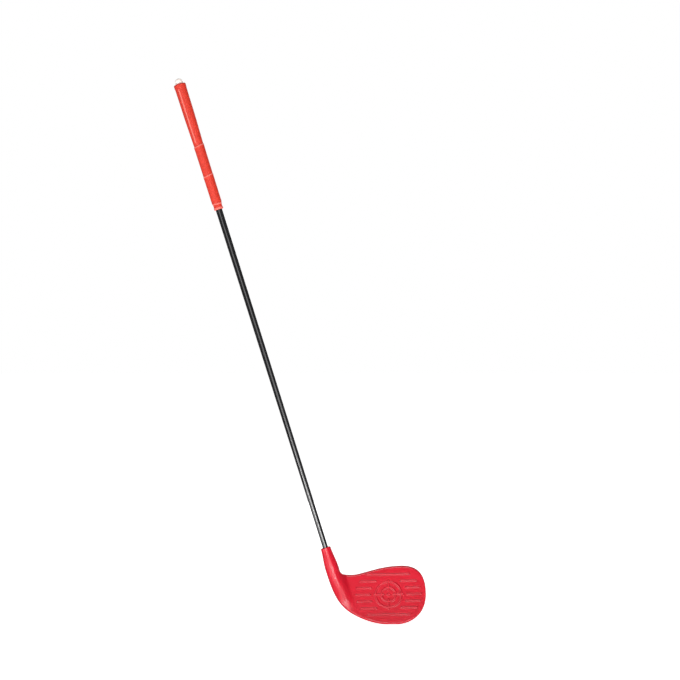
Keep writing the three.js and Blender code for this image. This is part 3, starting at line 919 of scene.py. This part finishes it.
dark_nylon = plain_inner("inner_plastic", linear(44, 44, 46), linear(56, 56, 58), 0.5, 0.65)
for node in ("hosel_bush", "shaft_tip_plug", "shaft_butt_plug"):
    dress_node(node, dark_nylon)
tape = plain_inner("grip_tape", linear(196, 186, 160), linear(208, 200, 176), 0.8, 0.95)
dress_node("grip_tape", tape)
steel = plain_inner("weight_steel", linear(128, 130, 134), linear(148, 150, 154), 0.3, 0.45, 1.0)
dress_node("swing_weight", steel)

# Stage, light and camera -----------------------------------------------------------------------

# The camera sees VIEW_WIDTH millimetres across at the object.
VIEW_WIDTH = 1088.0
VIEW_CENTRE = Vector((-83.2, 0.0, 453.6)) * MM
LENS = 135.0
SENSOR = 36.0

# Brightness of the room and radiance of the lights
FLOOR_GLOW = 0.9
ROOM_LIGHT = 0.15
ROOM_REFLECTION = 0.09
KEY = 1.9
FRONT_LOW = 1.9
FRONT_HIGH = 1.45
BACK_FILL = 2.2
TABLE = 1.6
OVERHEAD = 4.4
GRADIENT_POWER = 5.0

# Places and sizes of the lights are in metres.
OBJECT_MIDDLE = (-0.15, 0.0, 0.42)


def make_floor():
    """A large pale floor that glows like a light table, so that it has no horizon."""
    half = 30.0
    mesh = bpy.data.meshes.new("floor")
    corners = [(-half, -half, 0), (half, -half, 0), (half, half, 0), (-half, half, 0)]
    mesh.from_pydata(corners, [], [(0, 1, 2, 3)])
    floor = bpy.data.objects.new("floor", mesh)
    bpy.context.scene.collection.objects.link(floor)
    material, _, shader = new_material("floor")
    shader.inputs["Base Color"].default_value = (0.85, 0.85, 0.85, 1)
    shader.inputs["Roughness"].default_value = 0.9
    shader.inputs["Emission Color"].default_value = (1, 1, 1, 1)
    shader.inputs["Emission Strength"].default_value = FLOOR_GLOW
    mesh.materials.append(material)
    floor.visible_glossy = False


def softbox(name, place, target, width, height, radiance, gradient=None):
    """A soft rectangular light that doesn't show itself, with an even radiance.

    With a gradient, its radiance changes from foot to head by the given (low, high) factors.
    """
    data = bpy.data.lights.new(name, "AREA")
    data.shape = "RECTANGLE"
    data.size, data.size_y = width, height
    data.energy = radiance * width * height * math.pi
    if gradient is not None:
        data.use_nodes = True
        tree = data.node_tree
        place_on_light = tree.nodes.new("ShaderNodeNewGeometry")
        split = tree.nodes.new("ShaderNodeSeparateXYZ")
        tree.links.new(place_on_light.outputs["Parametric"], split.inputs["Vector"])
        from_head = mapped(tree, split.outputs["Y"], 0.0, 1.0, 1.0, 0.0)
        curved = add_node(tree, "ShaderNodeMath", operation="POWER")
        tree.links.new(from_head, curved.inputs[0])
        curved.inputs[1].default_value = GRADIENT_POWER
        strength = mapped(tree, curved.outputs[0], 0.0, 1.0, gradient[1], gradient[0])
        tree.links.new(strength, tree.nodes["Emission"].inputs["Strength"])
    light = bpy.data.objects.new(name, data)
    bpy.context.scene.collection.objects.link(light)
    light.location = place
    light.rotation_euler = (Vector(target) - Vector(place)).to_track_quat("-Z", "Y").to_euler()
    light.visible_camera = False


def make_world():
    """White behind the object, and a dimmer room for the light that falls on it."""
    world = bpy.data.worlds.new("studio")
    world.use_nodes = True
    tree = world.node_tree
    background = tree.nodes["Background"]
    background.inputs["Color"].default_value = (1, 1, 1, 1)
    path = tree.nodes.new("ShaderNodeLightPath")
    glossy = mapped(tree, path.outputs["Is Glossy Ray"], 0.0, 1.0, ROOM_LIGHT, ROOM_REFLECTION)
    seen = add_node(tree, "ShaderNodeMix", data_type="FLOAT")
    tree.links.new(path.outputs["Is Camera Ray"], seen.inputs[0])
    tree.links.new(glossy, seen.inputs[2])
    seen.inputs[3].default_value = 1.0
    tree.links.new(seen.outputs[0], background.inputs["Strength"])
    bpy.context.scene.world = world


def make_camera():
    half_view = VIEW_WIDTH * MM / 2
    distance = half_view / (SENSOR / 2 / LENS)
    data = bpy.data.cameras.new("camera")
    data.lens, data.sensor_width = LENS, SENSOR
    data.clip_end = 100
    camera = bpy.data.objects.new("camera", data)
    camera.location = VIEW_CENTRE - Vector((0, distance, 0))
    camera.rotation_euler = (math.pi / 2, 0, 0)
    bpy.context.scene.collection.objects.link(camera)
    bpy.context.scene.camera = camera


make_floor()
make_world()
make_camera()
softbox("key", (-2.1, -1.7, 1.75), OBJECT_MIDDLE, 1.2, 1.4, KEY)
softbox("front_low", (-0.13, -1.2, 0.155), (-0.13, 0.0, 0.155), 1.1, 0.3, FRONT_LOW, (13.0, 0.8))
softbox("front_high", (-0.25, -3.0, 0.53), (-0.25, 0.0, 0.53), 3.0, 0.56, FRONT_HIGH)
softbox("front_table", (-0.13, -0.65, 0.004), (-0.13, -0.65, 1.0), 1.1, 1.1, TABLE)
softbox("overhead", (-0.1, -1.3, 2.5), (-0.1, 0.0, 0.1), 1.3, 1.1, OVERHEAD)
softbox("back_fill", (0.6, 2.8, 0.75), OBJECT_MIDDLE, 2.2, 1.3, BACK_FILL)
bpy.context.scene.view_settings.view_transform = "Standard"
